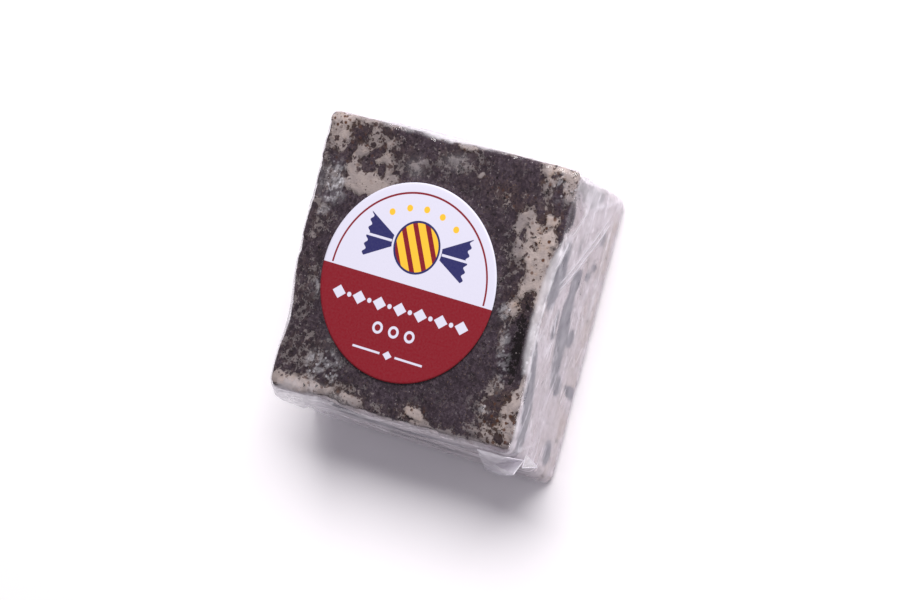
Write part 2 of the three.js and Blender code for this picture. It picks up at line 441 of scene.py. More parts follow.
# %% Streaks of cookie on the cut sides
# place along the side, height, half length, half width, turn in degrees, strength
SIDE_STREAKS = rows("""
right: -22 19.2 10.5 1.5 7 1, -9.5 21 3.4 .9 4 .7, -3 12.3 11.5 1.9 5 1.05, 7.5 12.2 2.8 1.5 -12 .8
    -15.2 8.6 2.2 1.4 0 .78, -4.2 8.6 1.9 1.3 0 .78, -2.2 16.2 3.2 .8 4 .72, -30 6 2.6 1.2 8 .85
    -16.2 2.8 1.3 2.8 -28 .8, 9.4 8.1 1.1 .8 0 .62, 18.4 5.9 1.5 1 0 .68, 12 6.6 .8 1 0 .55
    15.6 14.8 2.2 .7 0 .45, 8.6 19.6 7 1.6 -3 1.2, 25.6 11.6 .9 2.8 35 .65
front: -22 18.6 9 1.5 -4 .95, -8 14.5 12 2 -3 .75, 12 16 9 1.4 4 .75, 2 7 14 1.6 2 .5, 23 9 6 1.4 -6 .5
    -24 6 5 1.3 5 .45
left: 14 15.5 13 1.8 -5 1, -12 17.8 9 1.4 6 .9, -4 9 12 1.9 3 .95, 20 6.5 6 1.4 -8 .8, -24 8 4 1.4 10 .8
    2 3.4 7 .9 0 .65, -17 13.2 5.5 .7 4 .75, 27 10.8 3.2 .8 -8 .75, 8 6 4.5 .6 3 .7
back: -16 14 12 1.9 4 1, 10 17 10 1.4 -5 .9, 14 8.4 12 1.8 3 .95, -20 6.4 7 1.3 -4 .8, -2 4 5 1 6 .65
    25 13.2 5 .7 -6 .75, -27 10.4 3.5 .8 5 .75, 0 11.4 5.5 .6 -3 .7
""")
# The dark crust of the big face hangs down over the side here: place, length, how far.
CRUST_SPILLS = rows("""
right: 21.5 4.6 3.6, -27 4 1.2
left: 8 9 1.6
""")
CRUST_EDGE = 0.5
CRUST_DROP = 1.3
print(len(SIDE_STREAKS), "streaks on the sides")

# %% Ovals, faces and torn outlines
def oval(u, v, x, y, length, width, turned):
    """How deep (u, v) lies in a turned oval: 1 at its middle, 0 well outside."""
    angle = math.radians(turned)
    du, dv = u - x, v - y
    along = (du * math.cos(angle) + dv * math.sin(angle)) / length
    beside = (dv * math.cos(angle) - du * math.sin(angle)) / width
    return ease(1.45 - np.hypot(along, beside) * 0.9)


def strongest(points, ovals, wider=1.0):
    """The strongest of the big face's ovals at each point."""
    u, v = points[:, 0], points[:, 1]
    best = np.zeros(len(points))
    for _, x, y, length, width, turned, strength in ovals:
        best = np.maximum(best, strength * oval(u, v, x, y, length * wider, width * wider, turned))
    return best


# The way each face looks, and which coordinates run along and up (or across) it.
FACES = {
    "right": ((1, 0, 0), (1, 2)), "left": ((-1, 0, 0), (1, 2)),
    "front": ((0, -1, 0), (0, 2)), "back": ((0, 1, 0), (0, 2)),
    "top": ((0, 0, 1), (0, 1)), "base": ((0, 0, -1), (0, 1)),
}
CREAM_OF_TOP = 0.13
CREAM_OF_SIDE = 0.88
CREAM_OF_BASE = 0.60


def facing(arrows, face):
    """1 where a point lies on the face, 0 where it faces elsewhere."""
    return ease((arrows @ np.array(FACES[face][0]) - 0.35) / 0.4)


def on_face(points, face):
    """Places of the points along the face and up (or across) it."""
    return points[:, FACES[face][1]].T


def ragged(points, reach, size, seed):
    """Push points about by soft noise, so that a plain outline comes out torn."""
    shift = [rough(points, size, 3, seed + 50 * axis) - 0.5 for axis in range(3)]
    return points + 2 * reach * np.stack(shift, axis=1)


print("the outlines are ready, on", len(FACES), "faces")

# %% Cookie and cream, point by point
FUDGE_STEP = 0.31
points, faces, straight, arrows = block_skin((FUDGE_STEP, FUDGE_STEP, FUDGE_STEP * 1.3), plain_base=True)
base = facing(arrows, "base")
right = facing(arrows, "right")

# crust: 1 on the crumbly big face, 0 on the cut sides, with an uneven border at the rim
inward = np.min(HALF[:2] - np.abs(straight[:, :2]), axis=1)
down = HALF[2] - straight[:, 2]
lighter = np.maximum(right, facing(arrows, "front"))
spill = CRUST_DROP * (1 - lighter) + 2.2 * (rough(points, 3.4, 3, seed=71) - 0.5)
for face, place, reach, drop in CRUST_SPILLS:
    there = arrows @ np.array(FACES[face][0]) > 0.3
    spill += drop * bell((on_face(points, face)[0] - place) / reach) * there
crust = ease(0.5 + (inward - down + spill) / CRUST_EDGE)

# cream: 0 is packed cookie, 1 is plain cream
torn = ragged(points, 1.1, 2.6, seed=61)
on_top = CREAM_OF_TOP + 0.55 * (rough(points, 4.5, 4, seed=67) - 0.42)
mixed = strongest(torn, SPECKLED_PLACES) + 0.3 * (rough(points, 3.0, 3, seed=69) - 0.5)
on_top = np.maximum(np.maximum(on_top, mixed), strongest(torn, CREAM_ISLANDS))
on_top -= 0.95 * strongest(torn, COOKIE_CLUMPS)
long = points * (0.35, 0.35, 1.0)
shift = ragged(long, 0.7, 1.6, seed=73) - long
shift += (ragged(long, 2.6, 4.5, seed=75) - long) * (1 - right)[:, None]
on_side = CREAM_OF_SIDE + 0.2 * (rough(long, 2.0, 3, seed=79) - 0.5)
for face, *outline, strength in SIDE_STREAKS:
    along, up = on_face(points, face)
    streak = oval(along + shift[:, 0], up + shift[:, 2], *outline)
    on_side -= 0.97 * strength * ease((streak - 0.15) / 0.6) * facing(arrows, face)
cream = crust * on_top + (1 - crust) * ((1 - base) * on_side + base * CREAM_OF_BASE)
cookie = (1 - cream.clip(0, 1.1)).clip(0, 1)
low = bell(points[:, 2] / 5.0) * right
warm = np.maximum(strongest(torn, WARM_PLACES) * crust, 0.8 * low * (1 - crust))
light = np.maximum(0.80 * strongest(torn, CREAM_ISLANDS, 1.5), 0.18 + 1.1 * mixed)
print("share of cookie", round(float(cookie.mean()), 2))

# %% [markdown]
# ## The fudge
#
# The relief is broken inwards from the smooth block. Crumb is laid as grains of three sizes:
# where there is much cookie nearly every grain is there, in the cream only a few. Chips are
# places where a corner or rim has broken. The finest grit is left to the material.

# %% Chips, worn rims and grains
# place (across, along, up), half sizes, depth, and how far the film follows the hollow
CHIPS = rows("""
the long crack: 26.6 -9.4 22.6 1.5 7.6 3.2 1.9 .15
round the rims: 32.5 28 15.5 5.5 5.5 5.5 2 .1, 27.2 -15.6 22.6 3 2.4 2.6 1.4 .1
    32.6 1 22.4 2.6 15 3 1.1 .75, 31 18.5 21.5 3.5 4.5 3 .9 .5, -22 -33.5 17.5 9 4 3.2 1.5 .1
    -17.5 -31.5 22 2.6 3 2.4 1.2 .6, 27 -33 20 6.5 4 4.5 1.2 .3, -32.9 13 22 2.6 4 2.6 .3 .8
    -32 -16 22 2.6 6 2.6 .4 .2, -2 32 22 4 2.4 2.4 .6 .9
""")
# The lower front left corner broke away.
BROKEN_CORNER = (-33.5, -36.5)
BROKEN_REACH = 8.5
BROKEN_DEPTH = 6.5
BROKEN_TOP = 19.5
RIM_WEAR = 0.75
FUDGE_INSET = 0.14
STRAY_CRUMBS = 0.06
# Size of the grains, how far they stand out, and a seed.
GRAINS = [(1.9, 0.30, 11), (1.1, 0.20, 23), (0.68, 0.12, 37)]
CLUMP_SIZE = 3.0
PRESSED_FLAT = 0.6      # how much of the relief the sticker pressed flat
CRACK_REACH = (1.25, 7.8, 6.0)


def blob(points, place, half):
    """1 at the place, fading away over the half sizes."""
    return bell(np.linalg.norm((points - place) / half, axis=1))


def worn(points, arrows, follow=False):
    """Depth of the chips and worn rims; with follow, how far the film sinks into them."""
    rim = 1 - np.max(np.abs(arrows), axis=1) ** 6
    nicks = np.clip(rough(points, 2.4, 3, seed=9) - 0.47, 0, 1) * 3
    depth = rim * RIM_WEAR * nicks * (0.9 if follow else 1.0)
    for _, *numbers, deep, film_follows in CHIPS:
        depth += deep * blob(points, numbers[:3], numbers[3:]) * (film_follows if follow else 1.0)
    return depth


print(len(CHIPS), "chips and", len(GRAINS), "sizes of grain")

# %% The fudge's own relief
clumps = rough(points, CLUMP_SIZE, 3, seed=15) - 0.5
crumbly = (cookie + 3.0 * cookie * (1 - cookie) * clumps * crust).clip(0, 1)
relief = np.zeros(len(points))
for grain, height, seed in GRAINS:
    middle, fate = crumbs(points, grain, seed)
    inside = ease((0.36 + 0.62 * crumbly - middle) / 0.2)
    present = ease((1.15 * crumbly ** 2 + STRAY_CRUMBS - fate) / 0.1)
    dome = np.sqrt(np.clip(1 - (middle / 0.95) ** 2, 0, 1))
    relief = np.maximum(relief, height * dome * inside * present)
rough_zone = crust * ease((crumbly - 0.12) / 0.45)
rough_zone *= 1 - 0.75 * ease((1 - np.max(np.abs(arrows), axis=1)) / 0.12)
from_label = np.hypot(*(points[:, :2] - LABEL_CENTRE).T) - LABEL_RADIUS
rough_zone *= 1 - PRESSED_FLAT * ease(1 - from_label / 1.6)
depth = FUDGE_INSET + 0.04 + rough_zone * (0.48 + 0.22 * rough(points, 5.0, 2, seed=5))
depth -= relief * rough_zone
depth += (1 - crust) * (0.10 * rough(points * (0.4, 0.4, 1), 2.0, 3, seed=7) + 0.12 * cookie)
depth += worn(points, arrows)
depth = (1 - base) * np.maximum(depth, FUDGE_INSET) + base * FUDGE_INSET
points = points - arrows * depth[:, None]
points[:, 2] = np.maximum(points[:, 2], FUDGE_INSET)
away = np.hypot(*(points[:, :2] - BROKEN_CORNER).T) / BROKEN_REACH
away += 0.5 * (rough(points, 5.0, 3, seed=27) - 0.5)
push = BROKEN_DEPTH * bell(away) * ease((BROKEN_TOP - points[:, 2]) / 3.5)
points[:, :2] += push[:, None] * math.sqrt(0.5)
# painted shade: high in the gaps between the standing grains, where shade falls; the material paints it
# nearly black
valley = (0.45 * rough_zone - relief * crust) / 0.45
# the long crack and the broken back right corner: dark cookie there, with painted shade in the hollow
crack = blob(points, CHIPS[0][1:4], CRACK_REACH)
crack = np.maximum(crack, 0.95 * blob(points, CHIPS[1][1:4], (3.0, 2.6, 6.0)))
fudge = new_piece("fudge_block", points, faces, crumbly=crumbly, crust=crust, light=light,
                  warm=warm, valley=np.clip(0.40 * valley, 0, 1), crack=crack)
print("fudge has", len(fudge.data.polygons), "faces")

# %% [markdown]
# The fudge's material reads the marbling from the points and adds what is finer than the mesh:
# nearly black cookie with grey and brown grains, and a greyish cream, warmer near the rims, with
# rusty specks. It also paints shade, nearly black, into the gaps between the standing grains and
# into the crack. Node trees are long to write, so a node's number is wrapped as a `Value` that
# adds and multiplies like a plain number. A material then reads like a sum.

# %% Nodes in plain words
class Value:
    """A number that Blender works out at every point of the surface."""

    def __init__(self, socket):
        self.socket = socket

    __add__ = lambda one, other: calculate("ADD", one, other)
    __sub__ = lambda one, other: calculate("SUBTRACT", one, other)
    __rsub__ = lambda one, other: calculate("SUBTRACT", other, one)
    __mul__ = lambda one, other: calculate("MULTIPLY", one, other)
    __truediv__ = lambda one, other: calculate("DIVIDE", one, other)
    __pow__ = lambda one, other: calculate("POWER", one, other)
    __abs__ = lambda one: calculate("ABSOLUTE", one)


def calculate(operation, *values, clamp=False):
    inputs = dict(enumerate(values))
    return Value(put("Math", inputs, operation=operation, use_clamp=clamp).outputs[0])


def larger(first, second):
    return calculate("MAXIMUM", first, second)


def clamped(value):
    return calculate("MULTIPLY", value, 1.0, clamp=True)


def attribute(name):
    return Value(put("Attribute", attribute_name=name).outputs["Fac"])


def move(operation, *vectors):
    inputs = dict(enumerate(vectors))
    return put("VectorMath", inputs, operation=operation).outputs[0]


def bump(height, strength, depth_mm):
    """Fine relief that is painted, not modelled."""
    return put("Bump", {
        "Height": height, "Strength": strength, "Distance": depth_mm * MM,
    }).outputs[0]


def split(vector):
    return [Value(socket) for socket in put("SeparateXYZ", {0: vector}).outputs]


print("numbers and bumps are ready")

# %% Noise, ramps and colours from nodes
def place_of(offset=0.0, stretch=(1, 1, 1)):
    """Object place, shifted and stretched, so that each noise is its own."""
    place = put("TexCoord").outputs["Object"]
    return move("MULTIPLY_ADD", place, stretch, (offset, offset, 0))


def noise(size_mm, detail, roughness=0.6, offset=0.0, stretch=(1, 1, 1)):
    """Soft noise whose lumps are about size_mm across."""
    return Value(put("TexNoise", {
        "Vector": place_of(offset, stretch), "Scale": 1 / (size_mm * MM),
        "Detail": detail, "Roughness": roughness,
    }).outputs[0])


def ramp(value, low, high, out_low=0.0, out_high=1.0):
    return Value(put("MapRange", {
        "Value": value, "From Min": low, "From Max": high, "To Min": out_low, "To Max": out_high,
    }, interpolation_type="SMOOTHSTEP").outputs[0])


def mix(share, first, second):
    return put("Mix", {0: share, 6: first, 7: second}, data_type="RGBA").outputs[2]


def shades(value, stops):
    """A run of colours along a value from 0 to 1."""
    made = put("ValToRGB", {0: value})
    bar = made.color_ramp.elements
    while len(bar) < len(stops):
        bar.new(0.5)
    for element, (_, place, *colour) in zip(bar, stops):
        element.position = place
        element.color = (*colour, 1)
    return made.outputs[0]


def cells(size_mm, place):
    """Cells about size_mm across: the distance to a cell's middle, and its two chance values."""
    made = put("TexVoronoi", {"Vector": place, "Scale": 1 / (size_mm * MM)})
    draws = put("SeparateColor", {0: made.outputs["Color"]}).outputs
    return made.outputs["Distance"], Value(draws[0]), Value(draws[1])


def specks(size_mm, reach, width, offset):
    """Round specks: a mask that is 1 inside, and each speck's own chance value."""
    distance, fate, _ = cells(size_mm, place_of(offset))
    return ramp(distance, reach, reach - width), fate


print("node words are ready")

# %% Material of the fudge
# place from 0 to 1, then the colour there
COOKIE_SHADES = rows("""
cookie: .08 .018 .01 .014, .34 .039 .025 .035, .52 .065 .044 .06, .68 .11 .083 .105, .9 .22 .188 .205
""")
CREAM_SHADES = rows("""
cream: .05 .085 .07 .078, .35 .165 .14 .15, .65 .265 .224 .226, 1 .38 .318 .302
""")
WARM_CREAM = (0.54, 0.45, 0.42, 1)
SIDE_CREAM = (0.59, 0.525, 0.56, 1)
SIDE_SHADE = (0.45, 0.385, 0.395, 1)
BROWN = (0.080, 0.046, 0.034, 1)
TAN = (0.19, 0.125, 0.085, 1)
RUST = (0.105, 0.044, 0.024, 1)
SIDE_TAN = (0.47, 0.36, 0.29, 1)
# painted sheen: a bluish grey mixed into the side's cookie, standing in for the hazy film over it
SIDE_FILM_SHEEN = (0.075, 0.082, 0.145, 1)
PALE_CRUMB = (0.26, 0.225, 0.23, 1)
STAIN = (0.42, 0.27, 0.17, 1)
# nearly black for painted shade: in the gaps between grains, and partly in the crack's hollow
SHADE_AND_CRACK_BLACK = (0.006, 0.003, 0.003, 1)
# Size of the crumbs in the colour, and how much of the plain cream they still dot.
CRUMB_SIZES = [(2.3, 0.02), (1.5, 0.05), (0.95, 0.08), (0.55, 0.07)]


def crooked_place(size_mm, offset):
    """Object place pushed about by noise, so that round grains come out knobbly."""
    place = place_of(offset)
    push = put("TexNoise", {
        "Vector": place, "Scale": 1.6 / (size_mm * MM), "Detail": 2.0,
    }).outputs["Color"]
    reach = (1.1 * size_mm * MM,) * 3
    return move("MULTIPLY_ADD", move("SUBTRACT", push, (0.5, 0.5, 0.5)), reach, place)


print(len(CRUMB_SIZES), "sizes of crumb in the colour")

# %% The big face
material("marbled_fudge", fudge)
share = attribute("crumbly")
crust = attribute("crust")
warm = attribute("warm")
fray = noise(0.9, 5, 0.7)
dust = noise(0.32, 3, 0.6, 0.3)
blotches = noise(2.0, 5, 0.68, 1.1) * 0.7 + noise(7.0, 2, 0.5, 4.1) * 0.6 - 0.65
body = shades(attribute("light") + blotches, CREAM_SHADES)
body = mix(warm * ramp(noise(2.2, 5, 0.7, 2.3), 0.25, 0.75), body, WARM_CREAM)
stain = warm * ramp(noise(2.6, 4, 0.65, 3.1), 0.50, 0.75)
body = mix(stain * 0.5, body, STAIN)
border = ramp(share, 0.95, 0.35)
grit = noise(0.5, 4, 0.7, 0.7) * 0.6 + noise(5.0, 3, 0.5, 1.7) * 0.4
reach = share * 0.34 + 0.42
is_cookie = 0.0
for number, (size_mm, stray) in enumerate(CRUMB_SIZES):
    distance, fate, tone = cells(size_mm, crooked_place(size_mm, 0.021 + 0.017 * number))
    there = ramp(share ** 1.5 * 1.1 + stray - fate, 0.0, 0.06)
    cover = ramp(distance, reach, reach - 0.16) * there
    crumb = shades(tone * 0.40 + grit - 0.24, COOKIE_SHADES)
    brownish = border * 0.5 + (1.0 - cover) * 0.7 + tone * 0.8 + warm * 0.55 - 0.63
    crumb = mix(clamped(brownish), crumb, BROWN)
    body = mix(cover * 0.94, body, crumb)
    is_cookie = larger(cover, is_cookie)


print("the big face has", len(board.nodes), "nodes")

# %% The cut sides
side_tone = noise(1.8, 4, 0.6, 1.9, (0.35, 0.35, 1.0))
side_body = mix(ramp(side_tone, 0.3, 0.7), SIDE_CREAM, SIDE_SHADE)
side_body = mix(warm * ramp(side_tone, 0.3, 0.6), side_body, SIDE_TAN)
streak = ramp(share + fray * 0.9 + dust * 0.8 - 0.85, 0.18, 0.82)
# cookie streaks of the sides, with a painted bluish film sheen mixed in
side_cookie = mix(0.45, shades(grit, COOKIE_SHADES), SIDE_FILM_SHEEN)
colour = mix(crust, mix(streak, side_body, side_cookie), body)
is_cookie = larger(is_cookie * crust, streak)
print("with the cut sides,", len(board.nodes), "nodes")

# %% Specks, the crack, painted shade and the finish
fine, fate = specks(0.42, 0.42, 0.25, 0.031)
colour = mix(fine * ramp(fate, 0.86, 0.92) * (crust * is_cookie) * 0.7, colour, TAN)
dot, fate = specks(1.5, 0.34, 0.16, 0.023)
colour = mix(dot * ramp(fate, 0.40, 0.45) * crust * warm, colour, RUST)
pale, fate = specks(0.9, 0.26, 0.16, 0.037)
colour = mix(pale * ramp(fate, 0.84, 0.90) * crust, colour, PALE_CRUMB)
crack = attribute("crack")
clods = noise(1.9, 4, 0.65, 5.3)
# nearly black where the crack and the noise add up, partly dark cookie and partly painted shade in the
# hollow; shade also takes the painted shade between the grains
torn = crack + fray * 1.9 + dust * 0.9 + clods * 2.0 - 2.40
shade = larger(attribute("valley"), ramp(torn, 0.34, 0.48, 0.0, 0.95))
colour = mix(shade, colour, SHADE_AND_CRACK_BLACK)
stuck = ramp(fate + crack * 0.34, 1.02, 1.08) * 0.8
colour = mix(pale * stuck, colour, PALE_CRUMB)
relief = fray * 0.8 + dust * 0.6 + is_cookie * 0.35
show(put("BsdfPrincipled", {
    "Base Color": colour, "Roughness": ramp(is_cookie, 0, 1, 0.5, 0.72),
    "Normal": bump(relief, 0.8, 0.30), "Specular IOR Level": 0.1,
}))
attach(fudge, "root")
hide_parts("fudge")
print("fudge is marbled")

# %% [markdown]
# ## The film
#
# The film is a thin clear skin, tight over the big face and loosely folded at the sides: one
# closed skin just outside the fudge. A fold is a ridge along a line, a flap is an area where
# another layer lies on top. Where film stands off or lies double it looks milky, so each point
# also carries a haze value. Where the film is crinkled, white specks of haze are painted glints.

# %% Folds and flaps of the film
FILM_STEP = 0.415
# from (two numbers), to (two), half width, lift, haze, and half the width of the painted
# highlight line along its sharp fold, where there is one
FOLDS = rows("""
front: -33 19 -24 14 3.4 1.5 .25 0, -26 16 -4 6 .6 .25 .15 0, -20 21 10 19 .8 .25 .12 0
back: -24 17 4 17.5 3.4 1.2 .1 0, -28 4 -8 19 .5 .35 .3 .14, 28 3 12 20 .5 .35 .3 .14
right: 5.2 19 22.2 5 .5 .5 .3 .13, 6.4 19.8 23.2 6.2 .42 .4 .3 .12, 8 22.6 16.5 20.4 .7 .4 .4 .15
    16.5 20.4 24 16.6 .7 .35 .35 .15, 24 14.5 27.5 3 .55 .3 .3 0, -9 17.4 -5 16 .3 .22 .25 .12
    -4.6 17.8 -1 18.3 .26 .18 .25 .1, -5 16.2 .4 17.3 .26 .18 .2 .12, -13.5 1.8 -1 4.1 .45 .25 .2 0
    -1 4.1 24 4.6 .55 .35 .25 0, -31 20.5 -28 12 .4 .3 .3 0
left: -24 18 -6 4 .5 .45 .35 .13, -22 19.2 -5 5.4 .4 .35 .3 .12, 24 18 10 4.4 .5 .45 .35 0
    -5 4.2 10 4.4 .55 .35 .25 0, 4 18.2 9 17 .26 .2 .25 0
base: -32 -27 -14 -6 .45 -.2 .4 0, -32 18 -14 -2 .45 -.2 .4 0, 32 -28 15 -7 .45 -.2 .4 0
    32 19 15 -3 .45 -.2 .4 0, -24 -16 24 -16 .6 -.2 .45 0, -14 -6 -14 -2 .45 -.2 .4 0
    15 -7 15 -3 .45 -.2 .4 0
""")
# corners in order (two numbers each), lift, haze
FLAPS = rows("""
top: 34 20 31.7 15.6 29.8 11.4 29.3 5 29.2 -3 29.2 -8 30 -14 36 -14 36 20 0 .74
right: 34 24 34 4 27 1 20 10 17 18 21 24 .12 .16, 6 19.4 22.6 5.6 29 5 29.5 17 12 22.6 .12 .06
    12 21.6 20.5 17.9 29.5 10.5 30.5 22 20 24 .1 .24, -14 0 28 0 28 4.4 4 4.3 -13 1.8 .12 .1
left: -23 18.8 -28 4 -5.5 4.8 .12 .1, 9 4.4 27 3 24 18.4 .12 .1
back: -24 15 -24 19 5 19.4 5 15.4 .1 .12
base: -32 -27 -14 -6 -14 -2 -32 18 0 .16, 32 -28 32 19 15 -3 15 -7 0 .16, -30 -16 -30 -9 30 -9 30 -16 0 .1
""")
# Where the film over the big face stands off and looks milky: an oval and its strength.
HAZY_PLACES = rows("""
hazy: 33.2 27.4 1.4 3.4 0 .4, -29 15.5 3 4 20 .14, -7.8 23.8 2.6 2.4 0 .1, 1.8 26.8 3.6 1.8 0 .08
    -4 32 14 1 0 .6, -18.4 -19.4 1.8 2 0 .14, 16 -32 14 1.2 0 .4, -22 -31 11 2.4 0 .38
""")
# Where the film spans a hollow and stays clear: an oval and how clear.
CLEAR_PLACES = rows("""
front: -31 9 7 9.5 0 .85
left: -34 9 7 9.5 0 .72
right: 21.5 21.4 4.4 3.6 0 .9, 29.5 20.5 3.4 2.6 0 .5
""")
# Where the film over the big face is crinkled: an oval and its strength. There the film dips in
# fine wrinkles, and white specks and lines painted into its haze stand in for glints.
CRINKLES = rows("""
crinkled: -28.4 16.4 3.6 4.2 20 1, -19 -24.2 4 3.2 0 1, -22.3 9.1 1 1 0 .8, -28.6 9.5 1.4 1.4 0 .8
    23.4 -23 1.4 1.4 0 1, 22.4 -2 2.4 1.4 20 .9, 24.6 -12 1.4 6 5 .8, 30.6 -8 1 9 0 .7, 29 27 3 3 0 .7
    -24 -7 2.4 1.6 0 .7
""")
print(len(FOLDS), "folds")

# %% How far a point lies from a fold
def edges_of(corners):
    """Each corner paired with the next one round."""
    return list(zip(corners, corners[1:] + corners[:1]))


def line_distance(u, v, x1, y1, x2, y2):
    """Distance from each point to a straight stretch, and how far along it the point is."""
    run, rise = x2 - x1, y2 - y1
    share = np.clip(((u - x1) * run + (v - y1) * rise) / (run * run + rise * rise), 0, 1)
    return np.hypot(u - x1 - share * run, v - y1 - share * rise), share


def inside_distance(u, v, corners):
    """How far inside a many-cornered area each point is; below 0 is outside."""
    turned = sum(a[0] * b[1] - b[0] * a[1] for a, b in edges_of(corners))
    nearest = np.full(len(u), 99.0)
    for (u1, v1), (u2, v2) in edges_of(corners):
        long = math.hypot(u2 - u1, v2 - v1)
        left = ((u2 - u1) * (v - v1) - (v2 - v1) * (u - u1)) / long
        nearest = np.minimum(nearest, left if turned > 0 else -left)
    return nearest


points, faces, _, arrows = block_skin((FILM_STEP, FILM_STEP, FILM_STEP * 0.8))
top = facing(arrows, "top")
base = facing(arrows, "base")
side = np.clip(1 - top - base, 0, 1)
wavy = ragged(points, 0.5, 5.0, seed=83)
bands = rough(points * (0.3, 0.3, 1.0), 1.7, 4, seed=89) - 0.5
clear_band = 0.8 + 2.2 * (1 - facing(arrows, "right"))
milky = ease((HEIGHT - points[:, 2]) / clear_band) * (1 - base)
near_base = bell(points[:, 2] / 2.4) * (1 - base)
haze = 0.006 + milky * (0.33 + 0.46 * bands) + 0.30 * base + 0.22 * near_base
wisps = rough(points * (1.0, 0.35, 1.0), 1.5, 4, seed=101)
over_top = ease((points[:, 2] - HEIGHT + 3.0) / 2.0)
haze += strongest(wavy, HAZY_PLACES) * over_top * ease((wisps - 0.2) / 0.5)
crinkled = strongest(wavy, CRINKLES)
# painted glints: white specks of haze where the film is crinkled
dots = rough(points, 1.0, 3, seed=137)
haze += 0.28 * crinkled * over_top * ease((dots - 0.56) / 0.07)
lift = np.zeros(len(points))
for face, *line, width, height, milk, _ in FOLDS:
    distance, share = line_distance(*on_face(points if width < 0.6 else wavy, face), *line)
    fade = (0.25 + 0.75 * ease(share * 5) * ease((1 - share) * 5)) * facing(arrows, face)
    sharp = np.clip(1 - distance / (1.6 * width), 0, 1)
    lift += height * (sharp if width < 1 else bell(distance / width)) * fade
    haze += milk * bell(distance / (0.9 * width)) * fade
for face, *places, height, milk in FLAPS:
    soft, streaky = (1.5 * (0.35 + wisps), 0.45 + 1.1 * wisps) if face == "top" else (0.4, 1.0)
    corners = list(zip(places[::2], places[1::2]))
    within = ease(0.5 + inside_distance(*on_face(wavy, face), corners) / soft)
    within *= facing(arrows, face)
    lift += height * within
    haze += milk * streaky * within
for face, *outline, clear in CLEAR_PLACES:
    haze *= 1 - clear * oval(*on_face(wavy, face), *outline) * facing(arrows, face)
stretch = rough(points * (0.6, 0.6, 1), 4.0, 3, seed=31) - 0.5
lift += side * (0.35 * stretch + 0.10 * bands)
lift = lift * (1 - np.abs(arrows[:, 2]) ** 6) * (1 - base) + lift * base
lift -= worn(points, arrows, follow=True)
crinkle = crinkled * top
wrinkle = (1 - np.abs(2 * rough(points, 4.2, 3, seed=97) - 1)) ** 6
lift -= crinkle * 0.16 * (1 - wrinkle)
points = points + arrows * lift[:, None]
points[:, 2] = np.clip(points[:, 2], 0.0, HEIGHT)
film = new_piece("clear_film", points, faces, haze=haze.clip(0, 0.9), side=side, crinkle=crinkle)
print("film has", len(film.data.polygons), "faces")

# %% [markdown]
# Where the film was folded over a corner, a loose layer ends in a free, rolled edge. A ridge on
# the skin would be too soft for that, so each loose layer is its own thin sheet.

# %% Loose layers of film
SHEET_THICKNESS = 0.06
SHEET_RINGS = 14
EDGE_ROLL = 0.11
ROLL_HAZE = 0.75
# corners in order (across, along, up), the haze, and which edges are free
SHEETS = [
    (((23.6, -32.3, 22.2), (30.8, -32.2, 22.6), (32.2, -32.2, 16.3), (31.7, -35.7, 18.2),
      (27.4, -36.6, 14.0), (22.0, -37.4, 6.8), (16.6, -37.5, 3.0), (19.5, -35.4, 11.0)), 0.38, (1, 6)),
    (((32.2, -30.8, 15.9), (32.9, -33.3, 10.4), (32.3, -33.9, 16.2)), 0.0, (0, 3)),
]


def shifted(faces, number):
    return [tuple(number + n for n in face) for face in faces]


def plate_faces(rings, count):
    """Faces of a thin plate: a fan with rings round it, the same below, and a rim between."""
    ring = lambda r, s: 1 + r * count + s % count
    faces = [(0, ring(0, s), ring(0, s + 1)) for s in range(count)]
    for r in range(rings - 1):
        faces += [(ring(r, s), ring(r + 1, s), ring(r + 1, s + 1), ring(r, s + 1)) for s in range(count)]
    under = 1 + rings * count
    faces += shifted([face[::-1] for face in faces], under)
    rim = [(ring(rings - 1, s), ring(rings - 1, s + 1)) for s in range(count)]
    return faces + [(a, under + a, under + b, b) for a, b in rim]


def thin_tube(path, radius, sides):
    """A closed tube round an open path."""
    runs = np.gradient(path, axis=0)
    runs /= np.linalg.norm(runs, axis=1, keepdims=True)
    beside = np.cross(runs, (0.3, 0.2, 1.0))
    beside /= np.linalg.norm(beside, axis=1, keepdims=True)
    above = np.cross(beside, runs)
    angles = np.linspace(0, 2 * math.pi, sides, endpoint=False)
    to_end = np.minimum(np.arange(len(path)), np.arange(len(path))[::-1])
    taper = radius * np.clip(to_end / 3, 0.15, 1)
    points = np.concatenate([
        path[n] + taper[n] * (np.outer(np.cos(angles), beside[n]) + np.outer(np.sin(angles), above[n]))
        for n in range(len(path))])
    faces = []
    for n in range(0, len(points) - sides, sides):
        for a, b in zip(range(n, n + sides), [*range(n + 1, n + sides), n]):
            faces.append((a, b, b + sides, a + sides))
    return points, faces + [tuple(range(sides))[::-1], tuple(range(len(points) - sides, len(points)))]


print("plates and tubes are ready")

